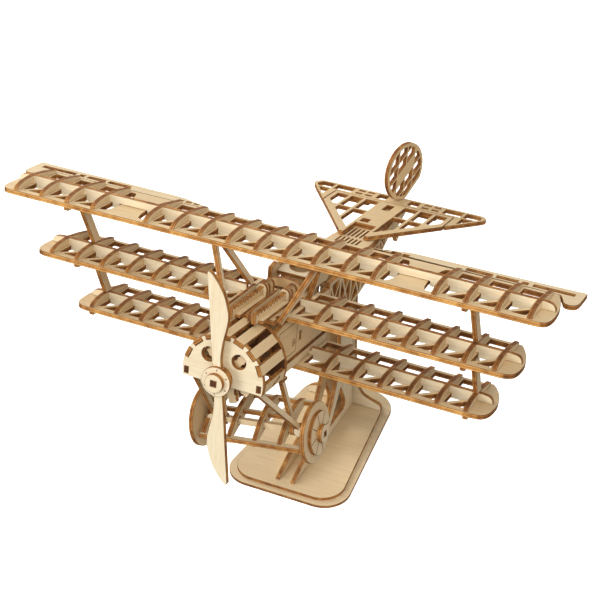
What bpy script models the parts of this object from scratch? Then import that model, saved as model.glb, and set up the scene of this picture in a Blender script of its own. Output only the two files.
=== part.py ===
"""Laser-cut plywood display model: a triplane with three stacked lattice wings,
a slatted cowl round a rotary engine, a wheeled undercarriage and a two-layer
stand.  Blender 4.5, metres, +Z up.

The origin is the centre of the stand's underside.  The nose points along -Y
and the wings lie along X.  The aircraft hangs nose-up on its stand, so all of
it is modelled level in its own frame (the "aircraft" empty: x to the right
wing, y aft, z up, measured from the top wing's leading edge) and the empty
carries the pitch.  The undercarriage has an empty of its own on the axle.
"""
import math
import bpy
import bmesh
from mathutils import Matrix, Vector

# ------------------------------------------------------------- dimensions, mm
MM = 0.001
PLY = 2.5                  # sheet thickness of the aircraft's plates
GAP = 0.3                  # clearance between touching plates
BAY = 15.0                 # rib spacing
PITCH_DEG = 12.0           # nose-up attitude on the stand
GEAR_ROLL_DEG = 8.0        # undercarriage sits slightly out of level
AIRCRAFT_AT = (0.0, -76.25, 170.2)

CHORD = 37.2               # front edge to rear edge of a wing skin
SPAR_Y = 15.5              # front face of the spar behind the leading edge
SPAR_TOP = 4.2             # spar and rib height above the skin
WEB = 2.5                  # half width of the skin left under each rib
LE_STRIP = 4.0
TE_STRIP_Y = 34.5

TOP_LE = (0.0, 0.0)        # (y, z) of each wing's leading edge, skin top
MID_LE = (11.1, -34.0)
LOW_LE = (27.9, -66.6)

THRUST_Z = -56.4           # propeller axis
COWL_R = 21.5
COWL_FRONT_Y = -24.3
COWL_FLAT_Z = -61.0
STAVE_ANGLES = (-5, 23, 46, 69, 90, 112, 134, 157, 185)
STAVE_W, STAVE_T = 6.0, 2.0

SIDE_X = 13.0              # fuselage side plates, mid plane
DECK_Z = -34.0             # top face of the front deck
FLOOR_Z = -61.4            # top face of the floor

GEAR_AT = (0.0, 23.3, -102.2)
WHEEL_R = 16.0
WHEEL_X = 29.9             # inner face of a wheel
AXLE = 3.0                 # square axle and propeller shaft
BORE_R = 2.6               # running hole round a 3 mm square shaft

RUDDER_R = 17.4
RUDDER_Y, RUDDER_Z = 201.0, -12.4
RUDDER_SET_DEG = 15.0      # the rudder stands turned this far

BASE_LOW_Z = (0.0, 1.6)
BASE_TOP_Z = (1.9, 3.6)
STAND_FOOT_Z = 3.9

# ------------------------------------------------------------------ the scene
for old in list(bpy.data.objects):
    bpy.data.objects.remove(old, do_unlink=True)

scene = bpy.context.scene
scene.unit_settings.system = "METRIC"
scene.unit_settings.length_unit = "MILLIMETERS"
parts = bpy.data.collections.new("triplane_model")
helpers = bpy.data.collections.new("cutters")
scene.collection.children.link(parts)
scene.collection.children.link(helpers)


def empty(name, location, rotation, parent=None):
    obj = bpy.data.objects.new(name, None)
    obj.empty_display_size = 0.01
    obj.location = [c * MM for c in location]
    obj.rotation_euler = rotation
    obj.parent = parent
    parts.objects.link(obj)
    return obj


aircraft = empty("aircraft", AIRCRAFT_AT, (math.radians(-PITCH_DEG), 0, 0))
gear = empty("undercarriage", GEAR_AT, (0, math.radians(-GEAR_ROLL_DEG), 0), aircraft)
prop_pivot = empty("propeller_pivot", (0, 0, THRUST_Z), (0, 0, 0), aircraft)
rudder_pivot = empty("rudder_pivot", (0, RUDDER_Y, RUDDER_Z),
                     (0, 0, math.radians(-RUDDER_SET_DEG)), aircraft)


def ply_material(name, colour, roughness=0.62):
    mat = bpy.data.materials.new(name)
    mat.use_nodes = True
    shader = mat.node_tree.nodes["Principled BSDF"]
    shader.inputs["Base Color"].default_value = (*colour, 1)
    shader.inputs["Roughness"].default_value = roughness
    shader.inputs["Metallic"].default_value = 0.0
    mat.diffuse_color = (*colour, 1)
    return mat


PALE = (0.82, 0.66, 0.43)
TAN = (0.72, 0.55, 0.34)
WARM = (0.66, 0.45, 0.23)
DEEP = (0.50, 0.31, 0.14)

# --------------------------------------------------------------- construction
# Columns: the world directions of a sheet's own x, y and thickness.
PLANES = {
    "XY": Matrix(((1, 0, 0), (0, 1, 0), (0, 0, 1))),
    "YZ": Matrix(((0, 0, 1), (1, 0, 0), (0, 1, 0))),
    "XZ": Matrix(((1, 0, 0), (0, 0, -1), (0, 1, 0))),
}


def sheet_curve(name, loops, thickness):
    """A flat cut sheet: the first loop is the outline, the rest are its holes."""
    data = bpy.data.curves.new(name, "CURVE")
    data.dimensions = "2D"
    data.fill_mode = "BOTH"
    data.extrude = thickness * MM / 2
    for loop in loops:
        spline = data.splines.new("POLY")
        spline.points.add(len(loop) - 1)
        for point, (u, v) in zip(spline.points, loop):
            point.co = (u * MM, v * MM, 0, 1)
        spline.use_cyclic_u = True
    return data


def place(obj, parent, plane, offset, shift=(0, 0, 0)):
    """offset is the sheet's mid plane along its thickness direction."""
    basis = PLANES[plane] if isinstance(plane, str) else plane
    normal = basis.col[2]
    at = Vector(shift) + normal * offset
    obj.matrix_basis = Matrix.Translation(at * MM) @ basis.to_4x4()
    obj.parent = parent


def finish_part(obj, colour, link=True):
    obj.data.materials.append(ply_material(obj.name, colour))
    if link:
        parts.objects.link(obj)
    return obj


def sheet(name, loops, plane, offset, parent, colour=PALE, thickness=PLY, shift=(0, 0, 0)):
    obj = bpy.data.objects.new(name, sheet_curve(name, loops, thickness))
    place(obj, parent, plane, offset, shift)
    return finish_part(obj, colour)


def solid_sheet(name, loops, plane, offset, parent, thickness=PLY, shift=(0, 0, 0)):
    """The same sheet as a welded mesh, for joining to another."""
    curve = bpy.data.objects.new(name, sheet_curve(name, loops, thickness))
    helpers.objects.link(curve)
    place(curve, parent, plane, offset, shift)
    bpy.context.view_layer.update()
    graph = bpy.context.evaluated_depsgraph_get()
    mesh = bpy.data.meshes.new_from_object(curve.evaluated_get(graph))
    bm = bmesh.new()
    bm.from_mesh(mesh)
    bmesh.ops.remove_doubles(bm, verts=bm.verts, dist=1e-6)
    bmesh.ops.recalc_face_normals(bm, faces=bm.faces)
    bm.to_mesh(mesh)
    bm.free()
    obj = bpy.data.objects.new(name, mesh)
    obj.parent = parent
    obj.matrix_basis = curve.matrix_basis.copy()
    bpy.data.objects.remove(curve, do_unlink=True)
    obj.name = name
    return obj


def box_mesh(name, size, centre, parent):
    mesh = bpy.data.meshes.new(name)
    bm = bmesh.new()
    bmesh.ops.create_cube(bm, size=1.0)
    bmesh.ops.scale(bm, vec=[s * MM for s in size], verts=bm.verts)
    bm.to_mesh(mesh)
    bm.free()
    obj = bpy.data.objects.new(name, mesh)
    obj.location = [c * MM for c in centre]
    obj.parent = parent
    return obj


def join_union(body, others, name, colour):
    """body with every other piece glued into it as one closed solid."""
    group = bpy.data.collections.new(name + "_pieces")
    helpers.children.link(group)
    for other in others:
        group.objects.link(other)
        other.hide_render = True
        other.display_type = "WIRE"
    body.name = name
    union = body.modifiers.new("glue", "BOOLEAN")
    union.operation = "UNION"
    union.solver = "EXACT"
    union.operand_type = "COLLECTION"
    union.collection = group
    return finish_part(body, colour)


def circle(radius, steps=24, centre=(0, 0), start=0.0):
    return [(centre[0] + radius * math.cos(start + 2 * math.pi * i / steps),
             centre[1] + radius * math.sin(start + 2 * math.pi * i / steps))
            for i in range(steps)]


def square(side, centre=(0, 0)):
    h = side / 2
    return [(centre[0] + u * h, centre[1] + v * h) for u, v in ((-1, -1), (1, -1), (1, 1), (-1, 1))]


def rect(x0, x1, y0, y1):
    return [(x0, y0), (x1, y0), (x1, y1), (x0, y1)]


def rounded(points, radii, seg=6):
    """A polygon with each corner replaced by an arc-like blend of the given size."""
    out = []
    count = len(points)
    for i, (point, radius) in enumerate(zip(points, radii)):
        p = Vector(point)
        if radius <= 0:
            out.append(tuple(p))
            continue
        a = p + (Vector(points[i - 1]) - p).normalized() * radius
        b = p + (Vector(points[(i + 1) % count]) - p).normalized() * radius
        for k in range(seg + 1):
            t = k / seg
            # a conic weight of 0.7 is a quarter circle on a right angle
            w = (1 - t) ** 2 + 1.4 * t * (1 - t) + t ** 2
            q = (a * (1 - t) ** 2 + p * 1.4 * t * (1 - t) + b * t ** 2) / w
            out.append(tuple(q))
    return out


def mirror(points):
    return [(-x, y) for x, y in reversed(points)]


def clip(poly, normal, limit):
    """The part of a convex polygon where point . normal <= limit."""
    out = []
    for i, q in enumerate(poly):
        p = poly[i - 1]
        dp = p[0] * normal[0] + p[1] * normal[1] - limit
        dq = q[0] * normal[0] + q[1] * normal[1] - limit
        if (dp < 0) != (dq < 0):
            t = dp / (dp - dq)
            out.append((p[0] + (q[0] - p[0]) * t, p[1] + (q[1] - p[1]) * t))
        if dq <= 0:
            out.append(q)
    return out


def area(poly):
    return 0.5 * sum(poly[i - 1][0] * q[1] - q[0] * poly[i - 1][1] for i, q in enumerate(poly))


def lattice(window, bars, width, smallest=2.5):
    """Cuts a convex window into the cells left between straight bars.
    A bar is (point, direction angle in degrees)."""
    cells = [window]
    for (px, py), angle in bars:
        a = math.radians(angle)
        n = (-math.sin(a), math.cos(a))
        mid = px * n[0] + py * n[1]
        split = []
        for cell in cells:
            split.append(clip(cell, n, mid - width / 2))
            split.append(clip(cell, (-n[0], -n[1]), -(mid + width / 2)))
        cells = [c for c in split if len(c) > 2]
    return [c for c in cells if abs(area(c)) > smallest]


def bar_between(name, start, end, width, parent, colour, face=(1, 0, 0), bore_end=0.0):
    """A straight strut plate with round ends between two points of a frame."""
    p, q = Vector(start), Vector(end)
    along = (q - p).normalized()
    normal = Vector(face)
    normal = (normal - along * normal.dot(along)).normalized()
    across = normal.cross(along)
    basis = Matrix((along, across, normal)).transposed()
    length, r = (q - p).length, width / 2
    loop = [(r * math.cos(a), r * math.sin(a))
            for a in [math.pi / 2 + math.pi * k / 6 for k in range(7)]]
    loop += [(length + r * math.cos(a), r * math.sin(a))
             for a in [-math.pi / 2 + math.pi * k / 6 for k in range(7)]]
    loops = [loop]
    if bore_end:
        loops.append(circle(bore_end, 16, (length, 0)))
    return sheet(name, loops, basis, 0, parent, colour, shift=start)


# ------------------------------------------------------------------ the wings
def rib_outline():
    """Side view of a rib on its skin: bluff nose, highest at the spar, thin tail."""
    top = []
    for k in range(5):
        a = math.pi / 2 * k / 4
        top.append((0.8 + (SPAR_Y - 1.0) * (1 - math.cos(a)), GAP + (SPAR_TOP - GAP) * math.sin(a)))
    for k in range(1, 6):
        t = k / 5
        top.append((15.3 + 21.0 * t, SPAR_TOP - 2.6 * t ** 1.7))
    return [(0.8, GAP)] + top[1:] + [(36.3, GAP)]


def bay_holes(x0, x1, le_y):
    """The two openings of one bay, either side of its diagonal."""
    return [
        [(x0 + 3.2, le_y + LE_STRIP), (x1, le_y + LE_STRIP), (x1, le_y + 11.6)],
        [(x0, le_y + 4.6), (x1, le_y + 15.0), (x1, le_y + TE_STRIP_Y), (x0, le_y + TE_STRIP_Y)],
    ]


def wing_holes(ribs, le_y, first=None):
    """Openings between consecutive ribs; a two-bay gap keeps a solid panel."""
    holes, teeth = [], []
    for a, b in zip(ribs, ribs[1:]):
        x0, x1 = a * BAY + WEB, b * BAY - WEB
        if b - a == 1:
            holes += bay_holes(x0, x1, le_y)
            teeth.append((x0 + GAP, x1 - GAP))
        elif b - a == 2:
            for u, v in ((x0, x0 + 4.5), (x1 - 4.5, x1)):
                holes.append(rect(u, v, le_y + LE_STRIP, le_y + TE_STRIP_Y))
                teeth.append((u + GAP, v - GAP))
    return holes, teeth


def spar_outline(teeth, x_start, x_end, round_start, round_end, low=None):
    """Front view of a spar: teeth reach down through the skin between the ribs."""
    def ending(x, sign):
        return [(x + sign * 5.6, 0.7), (x + sign * 5.3, 2.0), (x + sign * 3.6, 3.4), (x, SPAR_TOP)]
    bottom = [] if round_start else [(x_start, 0.6)]
    for u, v in teeth:
        bottom += [(u, 0.6), (u, -2.3), (v, -2.3), (v, 0.6)]
    if not round_end:
        bottom.append((x_end, 0.6))
    top = ending(x_end, 1) if round_end else [(x_end, SPAR_TOP)]
    if low:
        u, v, z = low
        top += [(v, SPAR_TOP), (v, z), (u, z), (u, SPAR_TOP)]
    top += list(reversed(ending(x_start, -1))) if round_start else [(x_start, SPAR_TOP)]
    return bottom + top


def rib_frame(name, ribs, le, spar, parent):
    """The spar with every rib slotted into it."""
    y, z = le
    body = solid_sheet(name, [spar], "XZ", -(y + SPAR_Y + PLY / 2), parent, shift=(0, 0, z))
    profile = [rib_outline()]
    others = [solid_sheet(f"{name}_rib_{i:02d}", profile, "YZ", n * BAY, parent, shift=(0, y, z))
              for i, n in enumerate(ribs)]
    return join_union(body, others, name, WARM)


def skin_offset(z):
    return z - PLY / 2


# Top wing: one skin from tip to tip, no rib at the fifth station each side.
top_ribs = [n for n in range(-9, 10) if abs(n) != 5]
tip = [(136.0, 0.0), (140.0, 0.4), (142.6, 2.4), (143.9, 7.0), (144.1, 13.0),
       (143.4, 22.0), (141.2, 31.0), (138.7, CHORD)]
holes, teeth = wing_holes(top_ribs, 0.0)
sheet("top_wing_skin", [tip + mirror(tip)] + holes, "XY", skin_offset(0), aircraft, PALE)
rib_frame("top_wing_rib_frame", top_ribs, TOP_LE,
          spar_outline(teeth, -137.0, 137.0, True, True), aircraft)

# Ailerons: plates glued behind the top skin, each with a horn round the tip.
aileron = [(45.0, 37.6), (139.3, 37.6), (141.4, 33.0), (143.9, 28.2), (147.0, 28.0), (149.2, 30.0),
           (149.5, 47.0), (125.0, 46.4), (67.0, 45.2), (62.0, 44.9), (45.0, 39.2)]
aileron_holes = [rect(a, b, 39.5, 42.6) for a, b in
                 ((92, 105), (107, 117.5), (119.5, 122.5), (125, 145))]
aileron_holes += [rect(a, a + 3.0, 39.2, 41.0) for a in (51.0, 55.6, 60.2)]
for side, sign in (("left", -1), ("right", 1)):
    loops = [aileron] + aileron_holes
    if sign < 0:
        loops = [mirror(loop) for loop in loops]
    sheet(f"aileron_{side}", loops, "XY", skin_offset(0), aircraft, PALE)

# Middle wing: one half each side of the fuselage.
mid_ribs = list(range(1, 9))
mid_tip = [(120.0, 0.0), (124.4, -0.9), (128.0, 2.0), (130.2, 8.5), (130.2, 17.0),
           (128.0, 26.0), (125.2, 33.0), (122.9, CHORD)]
MID_ROOT = 14.8
for side, sign in (("left", -1), ("right", 1)):
    le_y, le_z = MID_LE
    outline = [(MID_ROOT, le_y)] + [(x, y + le_y) for x, y in mid_tip] + [(MID_ROOT, le_y + CHORD)]
    holes, teeth = wing_holes(mid_ribs, le_y)
    loops = [outline] + holes
    spar = spar_outline(teeth, MID_ROOT, 123.0, False, True)
    ribs = mid_ribs[1:]
    if sign < 0:
        loops = [mirror(loop) for loop in loops]
        spar = mirror(spar)
        ribs = [-n for n in ribs]
        # the diagonals lean the same way on both halves
        holes, teeth = wing_holes([-n for n in reversed(mid_ribs)], le_y)
        loops = [loops[0]] + holes
    sheet(f"mid_wing_skin_{side}", loops, "XY", skin_offset(le_z), aircraft, PALE)
    rib_frame(f"mid_wing_rib_frame_{side}", ribs, MID_LE, spar, aircraft)

# Bottom wing: one piece passing under the fuselage floor.
low_ribs = [-7, -6, -5, -4, -3, -2, -1, 1, 2, 3, 4, 5, 6, 7]
low_tip = [(107.0, 0.0), (112.0, 1.0), (115.0, 4.6), (116.0, 10.0), (116.0, 18.0),
           (113.8, 27.5), (110.4, 34.5), (106.0, 39.4), (104.0, CHORD)]
le_y, le_z = LOW_LE
outline = [(x, y + le_y) for x, y in low_tip]
holes, teeth = [], []
for run in ([n for n in low_ribs if n < 0], [n for n in low_ribs if n > 0]):
    h, t = wing_holes(run, le_y)
    holes, teeth = holes + h, teeth + t
sheet("bottom_wing_skin", [outline + mirror(outline)] + holes, "XY", skin_offset(le_z), aircraft, PALE)
rib_frame("bottom_wing_rib_frame", [n for n in low_ribs if abs(n) > 1], LOW_LE,
          spar_outline(teeth, -108.0, 108.0, True, True, low=(-16.5, 16.5, 2.2)), aircraft)

# ----------------------------------------------------------------- the struts
upper = [(11.5, -2.8), (17.5, -2.8), (24.0, -14.0), (34.0, -29.4), (28.0, -29.4), (18.5, -14.0)]
lower = [(27.5, -36.8), (33.5, -36.8), (40.0, -49.5), (47.6, -62.0), (41.5, -62.0), (34.4, -49.5)]
for side, sign in (("left", -1), ("right", 1)):
    sheet(f"interplane_strut_upper_{side}", [upper], "YZ", sign * 7 * BAY, aircraft, WARM)
    sheet(f"interplane_strut_lower_{side}", [lower], "YZ", sign * 7 * BAY, aircraft, WARM)
    bar_between(f"cabane_strut_front_{side}", (sign * 14.9, 4.4, -34.2), (sign * 27.5, 12.6, -5.7),
                4.5, aircraft, WARM)
    bar_between(f"cabane_strut_rear_{side}", (sign * 16.4, 34.0, -31.2), (sign * 27.5, 18.2, -5.7),
                4.5, aircraft, WARM)

# ------------------------------------------------- cowl, engine and propeller
def cowl_disc(notched):
    """Circle with a flat bottom, measured from the thrust line."""
    flat = COWL_FLAT_Z - THRUST_Z
    start = math.degrees(math.asin(flat / COWL_R))
    inner = COWL_R - STAVE_T - GAP
    loop = []
    marks = [start + (180 - 2 * start) * k / 26 for k in range(27)]
    half = math.degrees(math.asin((STAVE_W / 2 + GAP) / COWL_R))
    angles = [a for a in STAVE_ANGLES if notched and 0 < a < 180]
    marks = [m for m in marks if all(abs(m - a) > half + 0.6 for a in angles)]
    points = [(m, [(COWL_R, m)]) for m in marks]
    for a in angles:
        hi = math.degrees(math.asin((STAVE_W / 2 + GAP) / inner))
        points.append((a, [(COWL_R, a - half), (inner, a - hi), (inner, a + hi), (COWL_R, a + half)]))
    for _, group in sorted(points, key=lambda item: item[0]):
        loop += [(r * math.cos(math.radians(m)), r * math.sin(math.radians(m))) for r, m in group]
    return loop


eyes = [circle(3.75, 20, (x, -46.7 - THRUST_Z)) for x in (-8.0, 8.0)]
sheet("cowl_front_plate", [cowl_disc(True), circle(BORE_R, 16)] + eyes, "XZ",
      -(COWL_FRONT_Y + PLY / 2), aircraft, PALE, shift=(0, 0, THRUST_Z))
wells = [circle(4.6, 16, (12.0 * math.cos(math.radians(a)), 12.0 * math.sin(math.radians(a))))
         for a in (30, 90, 150)]
sheet("cowl_rear_ring", [cowl_disc(False), circle(BORE_R, 16)] + wells, "XZ",
      -(-0.4 + PLY / 2), aircraft, TAN, shift=(0, 0, THRUST_Z))
for i, angle in enumerate(STAVE_ANGLES):
    a = math.radians(angle)
    closed_slot = not 0 < angle < 180
    y0 = COWL_FRONT_Y + PLY + GAP if closed_slot else COWL_FRONT_Y - 0.2
    y1 = -0.4 - GAP
    r = COWL_R - STAVE_T / 2
    stave = box_mesh(f"cowl_stave_{i + 1}", (STAVE_T, y1 - y0, STAVE_W),
                     (r * math.cos(a), (y0 + y1) / 2, THRUST_Z + r * math.sin(a)), aircraft)
    stave.rotation_euler = (0, -a, 0)
    finish_part(stave, TAN)

# Rotary engine: a nine-cylinder star keyed on the propeller shaft.
star = []
for k in range(9):
    a = 2 * math.pi * k / 9 + math.pi / 2
    for r, da in ((8.0, -0.33), (10.2, -0.20), (15.0, -0.17), (15.0, 0.17), (10.2, 0.20)):
        star.append((r * math.cos(a + da), r * math.sin(a + da)))
sheet("rotary_engine", [star, square(AXLE + 0.5)], "XZ", 19.6, prop_pivot, WARM)

# Propeller: two mirrored halves of one plate between hub discs on a square shaft.
edge = [(-2.6, 5.0), (-3.3, 8.0), (-4.8, 19.2), (-7.3, 39.0), (-9.1, 52.6), (-8.6, 53.6), (-7.6, 53.5),
        (-5.2, 51.0), (-2.5, 48.0), (0.4, 43.5), (1.9, 39.3), (3.1, 35.0), (3.4, 31.6), (2.4, 25.0),
        (1.1, 18.3), (0.8, 8.0), (2.6, 5.0)]
blades = edge + [(-x, -z) for x, z in edge]
blades.reverse()
prop = solid_sheet("propeller", [blades], "XZ", 28.25, prop_pivot)
discs = [solid_sheet("hub_disc_front", [circle(7.5, 28)], "XZ", 30.3, prop_pivot, thickness=2.0),
         solid_sheet("hub_disc_rear", [circle(6.0, 24)], "XZ", 26.3, prop_pivot, thickness=2.0),
         solid_sheet("hub_boss", [circle(4.7, 24)], "XZ", 32.4, prop_pivot, thickness=2.6)]
shaft = box_mesh("shaft", (AXLE, 37.2, AXLE), (0, -15.9, 0), prop_pivot)
join_union(prop, discs + [shaft], "propeller", PALE)

# --------------------------------------------------------------- the fuselage
front_side = [(2.5, -61.0), (65.5, -61.0), (65.5, -38.0), (49.0, -37.4), (10.0, -38.6), (2.5, -40.0)]
side_slot = [rect(34.0, 36.2, -51.0, -46.0)]
for side, sign in (("left", -1), ("right", 1)):
    sheet(f"fuselage_side_front_{side}", [front_side] + side_slot, "YZ", sign * SIDE_X, aircraft, TAN)

AFT_Y0, AFT_Y1 = 66.0, 190.0


def belly(y):
    """Underside of the aft fuselage."""
    line = ((66.0, -61.0), (100.0, -61.0), (122.8, -54.8), (154.6, -46.4), (190.0, -38.4))
    for (y0, z0), (y1, z1) in zip(line, line[1:]):
        if y <= y1:
            return z0 + (z1 - z0) * (y - y0) / (y1 - y0)
    return line[-1][1]


def aft_half_width(y):
    """Half width of the aft fuselage: nearly parallel, then drawn in to the tail."""
    return 12.8 - 0.02 * (y - 66.0) if y < 128.0 else 11.56 - 9.2 * (y - 128.0) / 62.0


AFT_TOP = -35.6
bottom_line = [(y, belly(y)) for y in (66.0, 100.0, 122.8, 154.6, 190.0)]
aft_outline = bottom_line + [(190.0, AFT_TOP), (66.0, AFT_TOP)]
aft_cells = []
for k, (ya, yb) in enumerate(((68.5, 81.0), (83.5, 97.0), (99.5, 112.0), (114.5, 126.5), (131.0, 143.5), (146.0, 158.0))):
    za, zb = belly(ya) + 2.6, belly(yb) + 2.6
    window = [(ya, za), (yb, zb), (yb, AFT_TOP - 2.4), (ya, AFT_TOP - 2.4)]
    rise = math.degrees(math.atan2(AFT_TOP - 2.4 - za, yb - ya))
    centre = ((ya + yb) / 2, (za + zb + 2 * (AFT_TOP - 2.4)) / 4)
    aft_cells += lattice(window, [(centre, rise)], 2.4, 6.0)
for side, sign in (("left", -1), ("right", 1)):
    flat = solid_sheet(f"fuselage_side_aft_{side}", [aft_outline] + aft_cells, "YZ", 0, aircraft)
    bm = bmesh.new()
    bm.from_mesh(flat.data)
    cut = bmesh.ops.bisect_plane(bm, geom=bm.verts[:] + bm.edges[:] + bm.faces[:],
                                 plane_co=(128.0 * MM, 0, 0), plane_no=(1, 0, 0), dist=1e-7)
    for vert in bm.verts:
        vert.co.z += sign * aft_half_width(vert.co.x / MM) * MM
    bm.to_mesh(flat.data)
    bm.free()
    finish_part(flat, TAN)

sheet("fuselage_floor", [rect(-14.2, 14.2, 2.5, 100.0)], "XY", FLOOR_Z - PLY / 2, aircraft, TAN)
deck = [(-12.4, 3.0), (12.4, 3.0), (12.4, 44.0), (6.0, 44.0), (6.0, 40.0), (-6.0, 40.0), (-6.0, 44.0), (-12.4, 44.0)]
sheet("fuselage_deck_front", [deck], "XY", DECK_Z - PLY / 2, aircraft, PALE)
aft_deck = [(aft_half_width(y) + 0.6, y) for y in (80.0, 128.0, 150.0, 189.0)]
slits = [rect(x, x + 1.6, a, b) for x in (-7.0, -3.6, 2.0, 5.4) for a, b in ((88, 104), (108, 124))]
sheet("fuselage_deck_aft", [aft_deck + mirror(aft_deck)] + slits, "XY", -34.05, aircraft, PALE, thickness=2.5)

cockpit_side = [(45.0, -33.6), (66.0, -33.6), (69.0, -31.0), (66.5, -28.0), (63.0, -29.2), (60.0, -26.0),
                (55.0, -27.2), (51.0, -24.4), (45.0, -25.6)]
for side, sign in (("left", -1), ("right", 1)):
    sheet(f"cockpit_side_{side}", [cockpit_side], "YZ", sign * 11.0, aircraft, TAN)
arch = [(-9.3, -33.6), (9.3, -33.6)] + [(9.3 * math.cos(math.pi * k / 10), -31.0 + 8.6 * math.sin(math.pi * k / 10))
                                        for k in range(11)]
sheet("cockpit_bulkhead", [arch], "XZ", -(41.6 + PLY / 2), aircraft, TAN)

# Two guns on the front deck: slotted jacket, then a taller receiver.
jacket = [(-8.0, -33.6), (37.0, -33.6), (37.0, -27.4), (35.6, -26.2), (26.4, -26.2), (25.0, -27.4), (25.0, -29.6)]
for k in range(7):
    y = 22.0 - 4.2 * k
    jacket += [(y, -29.6), (y, -30.5), (y - 1.6, -30.5), (y - 1.6, -29.6)]
jacket += [(-8.0, -29.6)]
for side, sign in (("left", -1), ("right", 1)):
    sheet(f"gun_{side}", [jacket], "YZ", sign * 6.2, aircraft, WARM, thickness=3.4)

# ------------------------------------------------------------------- the tail
TAIL_Z = -30.0
half = [(8.7, 129.0), (37.2, 171.4), (37.2, 190.6)]
tail_outline = half + mirror(half)
window = [(10.5, 139.0), (34.4, 174.4), (34.4, 187.6), (10.5, 187.6)]
cells = lattice(window, [((0, 172.0), 0), ((0, 157.0), 0), ((22.4, 0), 90), ((10.5, 187.6), -36)], 2.4)
tail_holes = cells + [mirror(c) for c in cells] + [rect(-4.0, 4.0, 160.0, 176.0)]
sheet("tailplane", [tail_outline] + tail_holes, "XY", skin_offset(TAIL_Z), aircraft, PALE)
half = [(37.9, 191.0), (37.9, 172.9), (54.0, 196.4), (54.0, 200.6), (51.0, 204.0)]
elevator_holes = [rect(a, b, 194.0, 201.2) for a, b in ((8.0, 20.0), (22.4, 34.6), (37.6, 49.0))]
elevator_holes += [mirror(h) for h in elevator_holes]
sheet("elevator", [half + mirror(half)] + elevator_holes, "XY", skin_offset(TAIL_Z), aircraft, PALE)

rim = circle(RUDDER_R, 36)
rim = clip(rim, (math.cos(math.radians(-50)), math.sin(math.radians(-50))), 15.4)
rudder_window = clip(circle(RUDDER_R - 2.2, 36), (math.cos(math.radians(-50)), math.sin(math.radians(-50))), 13.2)
uprights = [((u, 0), 90) for u in (-7.2, 0.0, 7.2)]
slants = [((0, v), 38) for v in (-11.0, -3.6, 3.6, 11.0)]
sheet("rudder", [rim] + lattice(rudder_window, uprights + slants, 1.7, 2.0), "YZ", 0, rudder_pivot, TAN)
skid = [(178.0, -41.6), (192.4, -38.8), (192.4, -33.2), (216.0, -34.6), (214.0, -39.0), (200.0, -46.0),
        (203.0, -55.0), (200.0, -56.4), (194.0, -48.0), (184.0, -45.4)]
sheet("tail_skid", [skid], "YZ", 0, aircraft, WARM)

# ---------------------------------------------------------- the undercarriage
roll = Matrix.Rotation(math.radians(-GEAR_ROLL_DEG), 3, "Y")


def on_gear(point):
    return tuple(roll @ Vector(point) + Vector(GEAR_AT))


for side, sign in (("left", -1), ("right", 1)):
    bar_between(f"gear_strut_front_{side}", (sign * 17.0, -17.6, -64.4), on_gear((sign * 24.0, 0, 0)),
                6.8, aircraft, WARM, bore_end=BORE_R)
    bar_between(f"gear_strut_rear_{side}", (sign * 17.6, 5.4, -67.6), on_gear((sign * 19.6, 0, 0)),
                6.8, aircraft, WARM, bore_end=BORE_R)
    # wheel: tyre disc, raised inner disc and boss, turned about the axle
    profile = [(BORE_R - 0.3, 6.9), (4.8, 6.9), (4.8, 4.5), (11.4, 4.5), (11.4, 2.4), (WHEEL_R, 2.4),
               (WHEEL_R, 0.0), (BORE_R - 0.3, 0.0)]
    mesh = bpy.data.meshes.new(f"wheel_{side}")
    mesh.from_pydata([(r * MM, 0, h * MM) for r, h in profile], [(k, (k + 1) % 8) for k in range(8)], [])
    wheel = bpy.data.objects.new(f"wheel_{side}", mesh)
    screw = wheel.modifiers.new("turn", "SCREW")
    screw.axis = "Z"
    screw.steps = screw.render_steps = 36
    screw.use_merge_vertices = True
    screw.merge_threshold = 0.00001
    screw.use_smooth_shade = False
    wheel.location = (sign * WHEEL_X * MM, 0, 0)
    wheel.rotation_euler = (0, sign * math.pi / 2, 0)
    wheel.parent = gear
    finish_part(wheel, PALE)
axle = box_mesh("axle", (74.6, AXLE, AXLE), (0, 0, 0), gear)
finish_part(axle, WARM)

# Wing-shaped fairing round the axle: curved ribs joined by three cross bars.
arc = [(-11.0 + 29.0 * t, -5.2 + 11.0 * t + 5.4 * math.sin(math.pi * t) ** 0.8) for t in [k / 8 for k in range(9)]]
under = [(y, z - 3.2 - 4.6 * math.sin(math.pi * (i / 8))) for i, (y, z) in enumerate(arc)]
rib = arc + list(reversed(under))
rib_bore = circle(BORE_R, 12)
fairing = box_mesh("axle_fairing", (37.0, 3.0, 2.4), (-0.2, -9.6, -5.9), gear)
pieces = [solid_sheet(f"fairing_rib_{i}", [rib, rib_bore], "YZ", x, gear)
          for i, x in enumerate((-15.4, -5.2, 5.0, 15.2))]
pieces += [box_mesh("fairing_bar_mid", (37.0, 2.4, 2.4), (-0.2, 5.4, 2.2), gear),
           box_mesh("fairing_bar_rear", (37.0, 3.0, 2.4), (-0.2, 16.0, 4.3), gear)]
join_union(fairing, pieces, "axle_fairing", TAN)

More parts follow.
